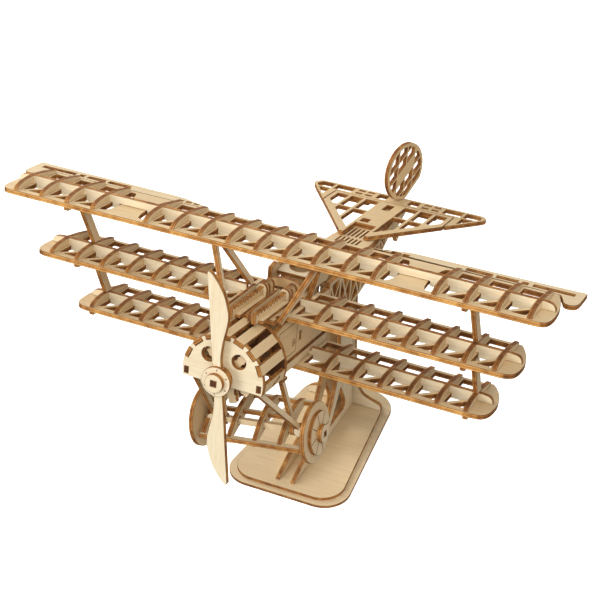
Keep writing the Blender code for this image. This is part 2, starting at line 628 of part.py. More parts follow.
# ------------------------------------------------------------------ the stand
low_base = rounded([(-37.4, -53.75), (37.4, -53.75), (26.6, 53.75), (-26.6, 53.75)], (17, 17, 16, 16), 7)
top_base = rounded([(-33.4, -50.2), (33.4, -50.2), (22.4, 46.8), (-22.4, 46.8)], (15, 15, 13, 13), 7)
sheet("stand_lower_plate", [low_base], "XY", sum(BASE_LOW_Z) / 2, None, TAN, BASE_LOW_Z[1] - BASE_LOW_Z[0])
sheet("stand_upper_plate", [top_base], "XY", sum(BASE_TOP_Z) / 2, None, PALE, BASE_TOP_Z[1] - BASE_TOP_Z[0])
SHIFT_Y, SHIFT_Z = AIRCRAFT_AT[1], AIRCRAFT_AT[2]
column = [(31.0, -166.3), (110.6, -166.3), (110.4, -158.0), (109.2, -140.0), (108.6, -110.0), (108.2, -60.4),
          (91.0, -56.8), (91.4, -92.0), (92.4, -108.0), (91.4, -122.0), (88.1, -135.3), (83.5, -143.5),
          (78.3, -153.0), (74.0, -155.4), (66.0, -156.6), (56.0, -157.6), (44.0, -160.6), (37.0, -163.7)]
opening = [(93.0, -142.0), (99.4, -154.5), (100.0, -158.7), (97.4, -161.0), (78.5, -160.4), (83.0, -155.0),
           (88.0, -149.0)]
for side, sign in (("left", -1), ("right", 1)):
    sheet(f"stand_column_{side}", [column, opening], "YZ", sign * 4.5, None, WARM,
          shift=(0, SHIFT_Y, SHIFT_Z))
arm = [(23.4, -166.3), (23.2, -163.6), (21.6, -162.0), (16.6, -160.2), (12.0, -157.6), (8.9, -153.6), (7.4, -146.0),
       (6.6, -130.0), (6.4, -82.0)]
sheet("stand_cross_plate", [arm + mirror(arm)], "XZ", -(111.0 + PLY / 2 + SHIFT_Y), None, PALE,
      shift=(0, 0, SHIFT_Z))

# Round pieces are shaded smooth, with their cut edges kept sharp.
for obj in parts.objects:
    if obj.type == "MESH" and not obj.modifiers:
        continue
    if obj.type == "MESH":
        obj.data.shade_smooth()
        obj.data.set_sharp_from_angle(angle=math.radians(30))
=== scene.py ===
import math
import bpy
import bmesh
from mathutils import Matrix, Vector


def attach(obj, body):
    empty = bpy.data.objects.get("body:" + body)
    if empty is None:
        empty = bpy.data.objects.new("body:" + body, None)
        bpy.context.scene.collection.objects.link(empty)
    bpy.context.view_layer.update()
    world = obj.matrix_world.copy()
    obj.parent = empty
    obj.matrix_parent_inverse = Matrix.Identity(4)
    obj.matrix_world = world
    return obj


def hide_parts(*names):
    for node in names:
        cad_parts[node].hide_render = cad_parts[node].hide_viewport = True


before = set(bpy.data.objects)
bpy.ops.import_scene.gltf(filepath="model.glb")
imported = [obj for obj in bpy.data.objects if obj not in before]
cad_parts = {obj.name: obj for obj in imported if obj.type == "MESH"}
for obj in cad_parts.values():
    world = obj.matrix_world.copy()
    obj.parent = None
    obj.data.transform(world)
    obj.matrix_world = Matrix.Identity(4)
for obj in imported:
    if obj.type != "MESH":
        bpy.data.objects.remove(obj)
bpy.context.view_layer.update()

MM = 0.001

# ------------------------------------------------------------------ dimensions
PLY, BAY, WEB = 2.5, 15.0, 2.5
CHORD, SPAR_Y, SPAR_TOP, LE_STRIP, TE_STRIP_Y = 37.2, 15.5, 4.2, 4.0, 34.5
MID_LE, LOW_LE = (11.1, -34.0), (27.9, -66.6)
THRUST_Z, COWL_R, COWL_FRONT_Y, COWL_FLAT_Z = -56.4, 21.5, -24.3, -61.0
STAVE_ANGLES = (-5, 23, 46, 69, 90, 112, 134, 157, 185)
GEAR_AT = (0.0, 23.3, -102.2)
WHEEL_R, WHEEL_X = 16.0, 29.9
RUDDER_R, RUDDER_Y, RUDDER_Z = 17.4, 201.0, -12.4
SHIFT_Y, SHIFT_Z = -76.25, 170.2

WORLD = Matrix.Identity(4)
AIR = Matrix.Translation(Vector((0, SHIFT_Y, SHIFT_Z)) * MM) @ Matrix.Rotation(math.radians(-12), 4, "X")
GEAR = AIR @ Matrix.Translation(Vector(GEAR_AT) * MM) @ Matrix.Rotation(math.radians(-8), 4, "Y")
PROP = AIR @ Matrix.Translation(Vector((0, 0, THRUST_Z)) * MM)
RUDD = AIR @ Matrix.Translation(Vector((0, RUDDER_Y, RUDDER_Z)) * MM) @ Matrix.Rotation(math.radians(-15), 4, "Z")

# ------------------------------------------------------------------- materials
class Nodes:
    """Short hand for one material's node tree."""

    def __init__(self, name):
        self.mat = bpy.data.materials.new(name)
        self.mat.use_nodes = True
        self.tree = self.mat.node_tree
        self.bsdf = self.tree.nodes["Principled BSDF"]

    def new(self, kind, **values):
        node = self.tree.nodes.new(kind)
        for key, value in values.items():
            setattr(node, key, value)
        return node

    def link(self, a, b):
        self.tree.links.new(a, b)

    def mapped(self, source, scale, offset=(0, 0, 0)):
        node = self.new("ShaderNodeMapping")
        node.inputs["Scale"].default_value = scale
        node.inputs["Location"].default_value = offset
        self.link(source, node.inputs["Vector"])
        return node.outputs["Vector"]

    def noise(self, source, scale, detail=4.0, rough=0.55, distort=0.0, offset=(0, 0, 0)):
        node = self.new("ShaderNodeTexNoise")
        node.inputs["Scale"].default_value = 1.0
        node.inputs["Detail"].default_value = detail
        node.inputs["Roughness"].default_value = rough
        node.inputs["Distortion"].default_value = distort
        self.link(self.mapped(source, scale, offset), node.inputs["Vector"])
        return node.outputs["Fac"]

    def ramp(self, source, stops, interpolation="LINEAR"):
        node = self.new("ShaderNodeValToRGB")
        ramp = node.color_ramp
        ramp.interpolation = interpolation
        while len(ramp.elements) < len(stops):
            ramp.elements.new(0.5)
        for element, (at, colour) in zip(ramp.elements, stops):
            element.position = at
            element.color = (*colour, 1) if len(colour) == 3 else colour
        self.link(source, node.inputs["Fac"])
        return node.outputs["Color"]

    def mix(self, factor, a, b, blend="MIX"):
        node = self.new("ShaderNodeMix", data_type="RGBA", blend_type=blend)
        for socket, value in ((node.inputs["Factor"], factor), (node.inputs[6], a), (node.inputs[7], b)):
            if isinstance(value, (int, float)):
                socket.default_value = value
            elif isinstance(value, tuple):
                socket.default_value = (*value, 1)
            else:
                self.link(value, socket)
        return node.outputs[2]

    def math(self, operation, a, b=None, clamp=False):
        node = self.new("ShaderNodeMath", operation=operation, use_clamp=clamp)
        for socket, value in zip(node.inputs, (a, b)):
            if value is None:
                continue
            if isinstance(value, (int, float)):
                socket.default_value = value
            else:
                self.link(value, socket)
        return node.outputs[0]

    def attribute(self, name, output="Vector"):
        return self.new("ShaderNodeAttribute", attribute_name=name).outputs[output]

    def bump(self, height, strength, distance):
        node = self.new("ShaderNodeBump")
        node.inputs["Strength"].default_value = strength
        node.inputs["Distance"].default_value = distance
        self.link(height, node.inputs["Height"])
        self.link(node.outputs["Normal"], self.bsdf.inputs["Normal"])


def grey(v):
    return (v, v, v)


def make_face():
    """Sheet face: pale rotary-cut veneer, grain along the sheet's own x."""
    m = Nodes("plywood_face")
    at = m.attribute("sheet")
    tone = m.attribute("tone", "Fac")
    broad = m.noise(at, (0.012, 0.11, 0.3), 3.0, 0.5, 0.4)
    grain = m.noise(at, (0.035, 0.75, 0.6), 6.0, 0.62, 0.8, (3, 7, 0))
    fibre = m.noise(at, (0.16, 5.5, 1.0), 4.0, 0.6, 0.15, (11, 2, 0))
    pores = m.noise(at, (0.55, 9.0, 1.0), 2.0, 0.4, 0.0, (5, 19, 0))
    colour = m.ramp(grain, [(0.28, (0.770, 0.640, 0.430)), (0.47, (0.850, 0.745, 0.540)),
                            (0.60, (0.880, 0.790, 0.595)), (0.80, (0.810, 0.690, 0.480))])
    tan = m.ramp(grain, [(0.28, (0.640, 0.425, 0.205)), (0.50, (0.745, 0.520, 0.265)),
                         (0.62, (0.785, 0.560, 0.300)), (0.80, (0.695, 0.475, 0.235))])
    # tone, given per piece, moves the face from cream to tan: the sheets' own differences, and on the wings, fuselage
    # sides and cowl staves painted shade and painted warm bounce light too.
    colour = m.mix(tone, colour, tan)
    colour = m.mix(m.ramp(broad, [(0.30, grey(0.0)), (0.72, grey(0.35))]), colour, (0.700, 0.520, 0.300))
    colour = m.mix(m.ramp(fibre, [(0.35, grey(0.28)), (0.62, grey(0.0))]), colour, (0.590, 0.410, 0.215))
    colour = m.mix(m.ramp(pores, [(0.24, grey(0.55)), (0.31, grey(0.0))]), colour, (0.430, 0.265, 0.115))
    m.link(colour, m.bsdf.inputs["Base Color"])
    rough = m.ramp(fibre, [(0.2, grey(0.66)), (0.8, grey(0.52))])
    m.link(rough, m.bsdf.inputs["Roughness"])
    m.bsdf.inputs["Specular IOR Level"].default_value = 0.32
    height = m.math("ADD", fibre, m.math("MULTIPLY", grain, 0.8))
    m.bump(height, 0.30, 0.00010)
    return m.mat


def make_edge():
    """Laser-cut edge: toasted plies, the middle one end grain, with fine cut lines across them."""
    m = Nodes("plywood_cut_edge")
    at = m.attribute("sheet")
    split = m.new("ShaderNodeSeparateXYZ")
    m.link(at, split.inputs[0])
    depth = m.math("ADD", m.math("MULTIPLY", split.outputs[2], 0.4), 0.5)
    wander = m.math("MULTIPLY", m.math("SUBTRACT", m.noise(at, (0.35, 0.35, 0.35), 2.0), 0.5), 0.10)
    depth = m.math("ADD", depth, wander)
    plies = m.ramp(depth, [(0.00, grey(0.72)), (0.10, grey(0.16)), (0.33, grey(0.10)), (0.37, grey(0.62)),
                           (0.42, grey(0.34)), (0.60, grey(0.30)), (0.64, grey(0.64)), (0.68, grey(0.12)),
                           (0.90, grey(0.18)), (1.00, grey(0.75))])
    lines = m.noise(at, (5.0, 5.0, 0.25), 3.0, 0.6)
    patch = m.noise(at, (0.16, 0.16, 0.10), 3.0, 0.55, 0.3, (2, 9, 4))
    burn_and_shade = m.math("ADD", plies, m.math("MULTIPLY", m.math("SUBTRACT", patch, 0.47), 1.15))
    burn_and_shade = m.math("ADD", burn_and_shade, m.math("MULTIPLY", m.math("SUBTRACT", lines, 0.5), 0.45))
    # The burn attribute is laser scorch, raised per piece also as painted shade on hole walls and up-facing rib edges.
    burn_and_shade = m.math("ADD", burn_and_shade, m.attribute("burn_and_shade", "Fac"), clamp=True)
    colour = m.ramp(burn_and_shade, [(0.00, (0.800, 0.460, 0.150)), (0.28, (0.610, 0.300, 0.080)),
                           (0.60, (0.320, 0.122, 0.027)), (1.00, (0.085, 0.031, 0.009))])
    m.link(colour, m.bsdf.inputs["Base Color"])
    m.link(m.ramp(burn_and_shade, [(0.0, grey(0.56)), (1.0, grey(0.78))]), m.bsdf.inputs["Roughness"])
    m.bsdf.inputs["Specular IOR Level"].default_value = 0.30
    m.bump(m.math("ADD", lines, m.math("MULTIPLY", plies, -0.6)), 0.35, 0.00012)
    return m.mat


def make_scorch():
    """Burnt arris and engraved lines."""
    m = Nodes("laser_scorch")
    at = m.attribute("sheet")
    patch = m.noise(at, (0.30, 0.30, 0.30), 4.0, 0.6, 0.2)
    colour = m.ramp(patch, [(0.30, (0.105, 0.038, 0.011)), (0.55, (0.190, 0.075, 0.020)), (0.78, (0.330, 0.155, 0.045))])
    m.link(colour, m.bsdf.inputs["Base Color"])
    m.link(m.ramp(patch, [(0.2, grey(0.80)), (0.8, grey(0.66))]), m.bsdf.inputs["Roughness"])
    m.bsdf.inputs["Specular IOR Level"].default_value = 0.25
    m.bump(m.noise(at, (4.0, 4.0, 4.0), 3.0), 0.25, 0.00006)
    return m.mat


FACE, EDGE, SCORCH = make_face(), make_edge(), make_scorch()

# ---------------------------------------------------------------- construction
PLANES = {
    "XY": Matrix(((1, 0, 0), (0, 1, 0), (0, 0, 1))),
    "YZ": Matrix(((0, 0, 1), (1, 0, 0), (0, 1, 0))),
    "XZ": Matrix(((1, 0, 0), (0, 0, -1), (0, 1, 0))),
}
pieces = bpy.data.collections.new("triplane_pieces")
bpy.context.scene.collection.children.link(pieces)


def hashed(name):
    """A repeatable number from 0 to 1 for each piece name."""
    value = 7
    for ch in name:
        value = (value * 131 + ord(ch)) % 100003
    return value / 100003


def cleaned(loop, near=0.03, nick=0.3):
    """Drops doubled points and back-tracks, and cuts the tip off each acute corner."""
    points = [Vector(p) for p in loop]
    changed = True
    while changed and len(points) > 3:
        changed = False
        for i, p in enumerate(points):
            a, b = points[i - 1], points[(i + 1) % len(points)]
            u, v = a - p, b - p
            if u.length < near or v.length < near or u.normalized().dot(v.normalized()) > 0.9995:
                points.pop(i)
                changed = True
                break
    out = []
    for i, p in enumerate(points):
        u, v = points[i - 1] - p, points[(i + 1) % len(points)] - p
        if u.normalized().dot(v.normalized()) > 0.5 and min(u.length, v.length) > 2.2 * nick:
            out += [p + u.normalized() * nick, p + v.normalized() * nick]
        else:
            out.append(p)
    return out


def sheet_mesh(name, loops, thickness, chamfer):
    """Cut sheet in its own x, y, with a burnt arris all round its outline and holes."""
    data = bpy.data.curves.new(name, "CURVE")
    data.dimensions = "2D"
    data.fill_mode = "BOTH"
    data.extrude = thickness / 2 - chamfer
    if chamfer:
        data.bevel_depth = chamfer
        data.bevel_resolution = 0
        data.offset = -chamfer
    for loop in loops:
        points = cleaned(loop)
        spline = data.splines.new("POLY")
        spline.points.add(len(points) - 1)
        for point, (u, v) in zip(spline.points, points):
            point.co = (u, v, 0, 1)
        spline.use_cyclic_u = True
    curve = bpy.data.objects.new(name + "_curve", data)
    bpy.context.scene.collection.objects.link(curve)
    bpy.context.view_layer.update()
    mesh = bpy.data.meshes.new_from_object(curve.evaluated_get(bpy.context.evaluated_depsgraph_get()))
    bpy.data.objects.remove(curve, do_unlink=True)
    bpy.data.curves.remove(data)
    bm = bmesh.new()
    bm.from_mesh(mesh)
    bmesh.ops.remove_doubles(bm, verts=bm.verts, dist=0.002)
    bmesh.ops.recalc_face_normals(bm, faces=bm.faces)
    bm.normal_update()
    for face in bm.faces:
        n = abs(face.normal.z)
        face.material_index = 0 if n > 0.98 else 2 if n > 0.15 else 1
        face.smooth = n <= 0.98
    bmesh.ops.scale(bm, verts=bm.verts, vec=(MM, MM, MM))
    bm.to_mesh(mesh)
    bm.free()
    return mesh


def attributes(mesh, name, tone, turn=0.0, burn_and_shade=0.0, painted_light_below=-1e9):
    """Sheet coordinates in mm, shifted for each piece so that no two share a grain."""
    seed = hashed(name)
    c, s = math.cos(turn), math.sin(turn)
    grain = []
    for vert in mesh.vertices:
        u, v, w = (k / MM for k in vert.co)
        grain += [u * c + v * s + seed * 900.0, v * c - u * s + seed * 431.0, w]
    mesh.attributes.new("sheet", "FLOAT_VECTOR", "POINT")
    mesh.attributes.new("tone", "FLOAT", "POINT")
    mesh.attributes.new("burn_and_shade", "FLOAT", "POINT")
    # Vertices with y below the given limit, the skin's leading edge, get 0.34 less burn: painted light, a lighter
    # golden edge where the key light falls.
    edge_darkening = [burn_and_shade - 0.34 if vert.co.y / MM < painted_light_below else burn_and_shade for vert in mesh.vertices]
    mesh.attributes["burn_and_shade"].data.foreach_set("value", edge_darkening)
    mesh.attributes["sheet"].data.foreach_set("vector", grain)
    mesh.attributes["tone"].data.foreach_set("value", [tone] * len(mesh.vertices))


def settle(obj, body, node):
    pieces.objects.link(obj)
    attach(obj, body)
    if node:
        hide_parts(node)
    return obj


# burn darkens a plate's cut edges: laser scorch, with the default raised as painted shade on shaded edges such as hole
# walls.
def plate(name, loops, plane, offset, frame_of, body="airframe", node=None, thickness=PLY, shift=(0, 0, 0),
          tone=None, turn=0.0, chamfer=0.16, materials=None, bend=None, burn_and_shade=0.26, painted_light_below=-1e9):
    mesh = sheet_mesh(name, loops, thickness, chamfer)
    attributes(mesh, name, hashed(name + "t") if tone is None else tone, turn, burn_and_shade, painted_light_below)
    for mat in materials or (FACE, EDGE, SCORCH):
        mesh.materials.append(mat)
    if bend:
        for vert in mesh.vertices:
            vert.co.z += bend(vert.co.x / MM) * MM
    basis = PLANES[plane] if isinstance(plane, str) else plane
    at = Vector(shift) + basis.col[2] * offset
    mesh.transform(frame_of @ Matrix.Translation(at * MM) @ basis.to_4x4())
    mesh.set_sharp_from_angle(angle=math.radians(28))
    return settle(bpy.data.objects.new(name, mesh), body, node)


def engraving(name, loops, plane, offset, frame_of, body="airframe", shift=(0, 0, 0)):
    """Burnt lines as thin strips lying on a face."""
    return plate(name, loops, plane, offset, frame_of, body, thickness=0.10, shift=shift, chamfer=0.0,
                 materials=(SCORCH, SCORCH, SCORCH))


def circle(radius, steps=40, centre=(0, 0), start=0.0):
    return [(centre[0] + radius * math.cos(start + 2 * math.pi * i / steps),
             centre[1] + radius * math.sin(start + 2 * math.pi * i / steps)) for i in range(steps)]


def square(side, centre=(0, 0)):
    h = side / 2
    return [(centre[0] + u * h, centre[1] + v * h) for u, v in ((-1, -1), (1, -1), (1, 1), (-1, 1))]


def rect(x0, x1, y0, y1):
    return [(x0, y0), (x1, y0), (x1, y1), (x0, y1)]


def line(a, b, width):
    p, q = Vector(a), Vector(b)
    n = (q - p).normalized()
    n = Vector((-n.y, n.x)) * width / 2
    return [tuple(p + n), tuple(p - n), tuple(q - n), tuple(q + n)]


def rounded(points, radii, seg=10):
    out, count = [], len(points)
    for i, (point, radius) in enumerate(zip(points, radii)):
        p = Vector(point)
        if radius <= 0:
            out.append(tuple(p))
            continue
        a = p + (Vector(points[i - 1]) - p).normalized() * radius
        b = p + (Vector(points[(i + 1) % count]) - p).normalized() * radius
        for k in range(seg + 1):
            t = k / seg
            w = (1 - t) ** 2 + 1.4 * t * (1 - t) + t ** 2
            out.append(tuple((a * (1 - t) ** 2 + p * 1.4 * t * (1 - t) + b * t ** 2) / w))
    return out


def smooth(points, rounds=2):
    """Corner cutting on an open run of points; its ends stay."""
    for _ in range(rounds):
        out = [points[0]]
        for (ax, ay), (bx, by) in zip(points, points[1:]):
            out.append((ax * 0.75 + bx * 0.25, ay * 0.75 + by * 0.25))
            out.append((ax * 0.25 + bx * 0.75, ay * 0.25 + by * 0.75))
        out.append(points[-1])
        points = out
    return points


def mirror(points):
    return [(-x, y) for x, y in reversed(points)]


def clip(poly, normal, limit):
    out = []
    for i, q in enumerate(poly):
        p = poly[i - 1]
        dp = p[0] * normal[0] + p[1] * normal[1] - limit
        dq = q[0] * normal[0] + q[1] * normal[1] - limit
        if (dp < 0) != (dq < 0):
            t = dp / (dp - dq)
            out.append((p[0] + (q[0] - p[0]) * t, p[1] + (q[1] - p[1]) * t))
        if dq <= 0:
            out.append(q)
    return out


def area(poly):
    return 0.5 * sum(poly[i - 1][0] * q[1] - q[0] * poly[i - 1][1] for i, q in enumerate(poly))


def lattice(window, bars, width, smallest=2.5):
    cells = [window]
    for (px, py), angle in bars:
        a = math.radians(angle)
        n = (-math.sin(a), math.cos(a))
        mid = px * n[0] + py * n[1]
        split = []
        for cell in cells:
            split.append(clip(cell, n, mid - width / 2))
            split.append(clip(cell, (-n[0], -n[1]), -(mid + width / 2)))
        cells = [c for c in split if len(c) > 2]
    return [c for c in cells if abs(area(c)) > smallest]


def strut(name, start, end, width, frame_of, node, face=(1, 0, 0), short=0.0, body="airframe"):
    p, q = Vector(start), Vector(end)
    q -= (q - p).normalized() * short
    along = (q - p).normalized()
    normal = Vector(face)
    normal = (normal - along * normal.dot(along)).normalized()
    basis = Matrix((along, normal.cross(along), normal)).transposed()
    length, r = (q - p).length, width / 2
    loop = [(r * math.cos(a), r * math.sin(a)) for a in [math.pi / 2 + math.pi * k / 12 for k in range(13)]]
    loop += [(length + r * math.cos(a), r * math.sin(a)) for a in [-math.pi / 2 + math.pi * k / 12 for k in range(13)]]
    return plate(name, [loop], basis, 0, frame_of, body, node, shift=start, tone=0.35)


# ------------------------------------------------------------------- the wings
def rib_outline():
    top = []
    for k in range(13):
        a = math.pi / 2 * k / 12
        top.append((0.7 + (SPAR_Y - 0.9) * (1 - math.cos(a)), 0.05 + (SPAR_TOP - 0.05) * math.sin(a)))
    for k in range(1, 13):
        t = k / 12
        top.append((15.3 + 21.2 * t, SPAR_TOP - 2.6 * t ** 1.7))
    return [(0.7, 0.05)] + top[1:] + [(36.5, 0.05)]


def bay_holes(x0, x1, le_y):
    return [
        [(x0 + 3.2, le_y + LE_STRIP), (x1, le_y + LE_STRIP), (x1, le_y + 11.6)],
        [(x0, le_y + 4.6), (x1, le_y + 15.0), (x1, le_y + TE_STRIP_Y), (x0, le_y + TE_STRIP_Y)],
    ]


def wing_holes(ribs, le_y):
    holes, teeth = [], []
    for a, b in zip(ribs, ribs[1:]):
        x0, x1 = a * BAY + WEB, b * BAY - WEB
        if b - a == 1:
            holes += bay_holes(x0, x1, le_y)
            teeth.append((x0 + 0.12, x1 - 0.12))
        elif b - a == 2:
            # plain round-ended panel in the middle of the double bay
            y0, y1, mid = le_y + LE_STRIP, le_y + TE_STRIP_Y, le_y + (LE_STRIP + TE_STRIP_Y) / 2
            bulge = [(3.2 * math.cos(math.pi * (k / 10 - 0.5)), mid + (y1 - y0) / 2 * math.sin(math.pi * (k / 10 - 0.5)))
                     for k in range(11)]
            holes.append([(x0, y0)] + [(x0 + 2.2 + u, v) for u, v in bulge] + [(x0, y1)])
            holes.append([(x1, y1)] + [(x1 - 2.2 - u, v) for u, v in reversed(bulge)] + [(x1, y0)])
            teeth += [(x0 + 0.3, x0 + 4.6), (x1 - 4.6, x1 - 0.3)]
    return holes, teeth


def spar_outline(teeth, x_start, x_end, round_start, round_end, low=None):
    def ending(x, sign):
        return smooth([(x + sign * 5.9, 0.1), (x + sign * 5.6, 2.0), (x + sign * 4.0, 3.7), (x, SPAR_TOP - 0.05)], 2)
    bottom = [] if round_start else [(x_start, 0.1)]
    for u, v in teeth:
        bottom += [(u, 0.1), (u, -2.45), (v, -2.45), (v, 0.1)]
    if not round_end:
        bottom.append((x_end, 0.1))
    top = ending(x_end, 1) if round_end else [(x_end, SPAR_TOP - 0.05)]
    if low:
        u, v, z = low
        top += [(v, SPAR_TOP - 0.05), (v, z), (u, z), (u, SPAR_TOP - 0.05)]
    top += list(reversed(ending(x_start, -1))) if round_start else [(x_start, SPAR_TOP - 0.05)]
    return bottom + top


def rib_frame(name, ribs, le, spar):
    y, z = le
    plate(name + "_spar", [spar], "XZ", -(y + SPAR_Y + PLY / 2), AIR, node=name, shift=(0, 0, z), tone=0.0)
    for n in ribs:
        # Ribs: tone 0.60 and burn 0.42 are set darker and warmer than the default as painted shade and painted warm
        # bounce light, on top of the laser scorch.
        plate(f"{name}_rib_{'m' if n < 0 else 'p'}{abs(n)}", [rib_outline()], "YZ", n * BAY, AIR, shift=(0, y, z), tone=0.60, burn_and_shade=0.42)


# Wing skins get tone 0.70 and burn 0.42: darker, warmer faces and edges painted as shade and warm bounce light, on top
# of the laser scorch.
top_ribs = [n for n in range(-9, 10) if abs(n) != 5]
tip = smooth([(135.0, 0.0), (140.5, 0.2), (143.4, 2.6), (144.2, 8.0), (144.2, 14.0), (143.4, 22.5), (141.2, 31.0), (138.7, CHORD)], 2)
holes, teeth = wing_holes(top_ribs, 0.0)
# The last argument lightens this skin's leading edge as painted light.
plate("top_wing_skin_plate", [tip + mirror(tip)] + holes, "XY", -1.25, AIR, node="top_wing_skin", tone=0.70, burn_and_shade=0.42, painted_light_below=0.5)
rib_frame("top_wing_rib_frame", top_ribs, (0.0, 0.0), spar_outline(teeth, -137.0, 137.0, True, True))

aileron = [(45.0, 37.45), (139.1, 37.45)] + smooth([(139.6, 36.6), (141.4, 33.0), (143.0, 28.4), (146.6, 27.8), (149.4, 30.0), (149.6, 36.0)], 2) + [
    (149.6, 46.6), (149.0, 47.2), (125.0, 46.4), (67.0, 45.2), (62.0, 44.9), (45.0, 39.2)]
aileron_holes = [rect(a, b, 39.5, 42.7) for a, b in ((92, 105), (107, 117.5), (119.5, 122.5), (125, 145))]
aileron_holes += [rect(a, a + 3.0, 39.2, 41.2) for a in (51.0, 55.6, 60.2)]
for side, sign in (("left", -1), ("right", 1)):
    loops = [aileron] + aileron_holes
    if sign < 0:
        loops = [mirror(loop) for loop in loops]
    plate(f"aileron_plate_{side}", loops, "XY", -1.25, AIR, node=f"aileron_{side}", tone=0.45)

mid_ribs = list(range(1, 9))
mid_tip = smooth([(119.5, 0.0), (125.0, 0.1), (129.2, 2.6), (130.4, 8.5), (130.4, 17.0), (128.2, 26.0), (125.2, 33.0), (122.9, CHORD)], 2)
for side, sign in (("left", -1), ("right", 1)):
    le_y, le_z = MID_LE
    outline = [(14.8, le_y)] + [(x, y + le_y) for x, y in mid_tip] + [(14.8, le_y + CHORD)]
    _, teeth = wing_holes(mid_ribs, le_y)
    spar = spar_outline(teeth, 14.8, 123.0, False, True)
    ribs = mid_ribs[1:]
    holes, _ = wing_holes(mid_ribs if sign > 0 else [-n for n in reversed(mid_ribs)], le_y)
    if sign < 0:
        outline, spar, ribs = mirror(outline), mirror(spar), [-n for n in ribs]
    # The last argument lightens this skin's leading edge as painted light.
    plate(f"mid_wing_skin_plate_{side}", [outline] + holes, "XY", le_z - 1.25, AIR, node=f"mid_wing_skin_{side}", tone=0.70, burn_and_shade=0.42, painted_light_below=MID_LE[0] + 0.5)
    rib_frame(f"mid_wing_rib_frame_{side}", ribs, MID_LE, spar)

low_ribs = [-7, -6, -5, -4, -3, -2, -1, 1, 2, 3, 4, 5, 6, 7]
low_tip = smooth([(106.5, 0.0), (112.4, 0.6), (115.4, 4.4), (116.2, 10.0), (116.2, 18.0), (113.8, 27.5), (110.4, 34.5), (107.0, 39.0), (104.0, CHORD)], 2)
le_y, le_z = LOW_LE
outline = [(x, y + le_y) for x, y in low_tip]
holes, teeth = [], []
for run in ([n for n in low_ribs if n < 0], [n for n in low_ribs if n > 0]):
    h, t = wing_holes(run, le_y)
    holes, teeth = holes + h, teeth + t
# The last argument lightens this skin's leading edge as painted light.
plate("bottom_wing_skin_plate", [outline + mirror(outline)] + holes, "XY", le_z - 1.25, AIR, node="bottom_wing_skin", tone=0.70, burn_and_shade=0.42, painted_light_below=LOW_LE[0] + 0.5)
rib_frame("bottom_wing_rib_frame", [n for n in low_ribs if abs(n) > 1], LOW_LE,
          spar_outline(teeth, -108.0, 108.0, True, True, low=(-16.5, 16.5, 2.4)))

# Locating tabs of the struts, showing under each leading edge.
for level, (y, z) in (("top", (0.0, 0.0)), ("mid", MID_LE), ("low", LOW_LE)):
    for side, sign in (("left", -1), ("right", 1)):
        tab = rounded([(y + 0.6, z - 2.55), (y + 0.6, z - 4.4), (y + 6.6, z - 4.4), (y + 6.6, z - 2.55)], (0, 0.8, 0.8, 0), 4)
        plate(f"strut_tab_{level}_{side}", [tab], "YZ", sign * 7 * BAY, AIR, tone=0.5)

# ------------------------------------------------------------------ the struts
upper = smooth([(11.5, -2.6), (18.5, -14.0), (28.0, -29.5)], 2) + [(34.0, -29.5)] + smooth([(34.0, -29.5), (24.4, -14.0), (17.5, -2.6)], 2)[1:]
lower = smooth([(27.5, -36.6), (34.4, -49.5), (41.5, -62.1)], 2) + [(47.6, -62.1)] + smooth([(47.6, -62.1), (40.3, -49.5), (33.5, -36.6)], 2)[1:]
for side, sign in (("left", -1), ("right", 1)):
    plate(f"interplane_upper_{side}", [upper], "YZ", sign * 7 * BAY, AIR, node=f"interplane_strut_upper_{side}", tone=0.6)
    plate(f"interplane_lower_{side}", [lower], "YZ", sign * 7 * BAY, AIR, node=f"interplane_strut_lower_{side}", tone=0.6)
    strut(f"cabane_front_{side}", (sign * 14.9, 4.4, -34.2), (sign * 27.5, 12.6, -5.3), 3.1, AIR, f"cabane_strut_front_{side}", short=-1.6)
    strut(f"cabane_rear_{side}", (sign * 16.4, 34.0, -31.2), (sign * 27.5, 18.2, -5.3), 3.4, AIR, f"cabane_strut_rear_{side}", short=-1.6)

# --------------------------------------------------- cowl, engine and propeller
def cowl_disc(notched, radius=COWL_R, width=5.5):
    flat = COWL_FLAT_Z - THRUST_Z
    start = math.degrees(math.asin(flat / radius))
    inner = radius - 2.2
    marks = [start + (180 - 2 * start) * k / 60 for k in range(61)]
    half = math.degrees(math.asin(width / 2 / radius))
    angles = [a for a in STAVE_ANGLES if notched and 0 < a < 180]
    marks = [m for m in marks if all(abs(m - a) > half + 0.6 for a in angles)]
    points = [(m, [(radius, m)]) for m in marks]
    hi = math.degrees(math.asin(width / 2 / inner))
    for a in angles:
        points.append((a, [(radius, a - half), (inner, a - hi), (inner, a + hi), (radius, a + half)]))
    loop = []
    for _, group in sorted(points, key=lambda item: item[0]):
        loop += [(r * math.cos(math.radians(m)), r * math.sin(math.radians(m))) for r, m in group]
    return loop


eyes = [circle(3.75, 36, (x, -46.7 - THRUST_Z)) for x in (-8.0, 8.0)]
slots = [line((19.3 * math.cos(math.radians(a)) , 19.3 * math.sin(math.radians(a)) - 1.6),
              (19.3 * math.cos(math.radians(a)), 19.3 * math.sin(math.radians(a)) + 2.0), 2.3) for a in (-5, 185)]
plate("cowl_front_disc", [cowl_disc(True), circle(2.4, 24)] + eyes + slots, "XZ", -(COWL_FRONT_Y + PLY / 2), AIR,
      node="cowl_front_plate", shift=(0, 0, THRUST_Z), tone=0.0)
for k, a in enumerate((-5, 185)):
    cx, cz = 19.3 * math.cos(math.radians(a)), 19.3 * math.sin(math.radians(a)) + 0.2
    plate(f"cowl_tab_{k}", [rect(cx - 1.05, cx + 1.05, cz - 1.7, cz + 1.7)], "XZ", -(COWL_FRONT_Y + 1.5), AIR,
          shift=(0, 0, THRUST_Z), thickness=2.6, materials=(EDGE, EDGE, SCORCH))
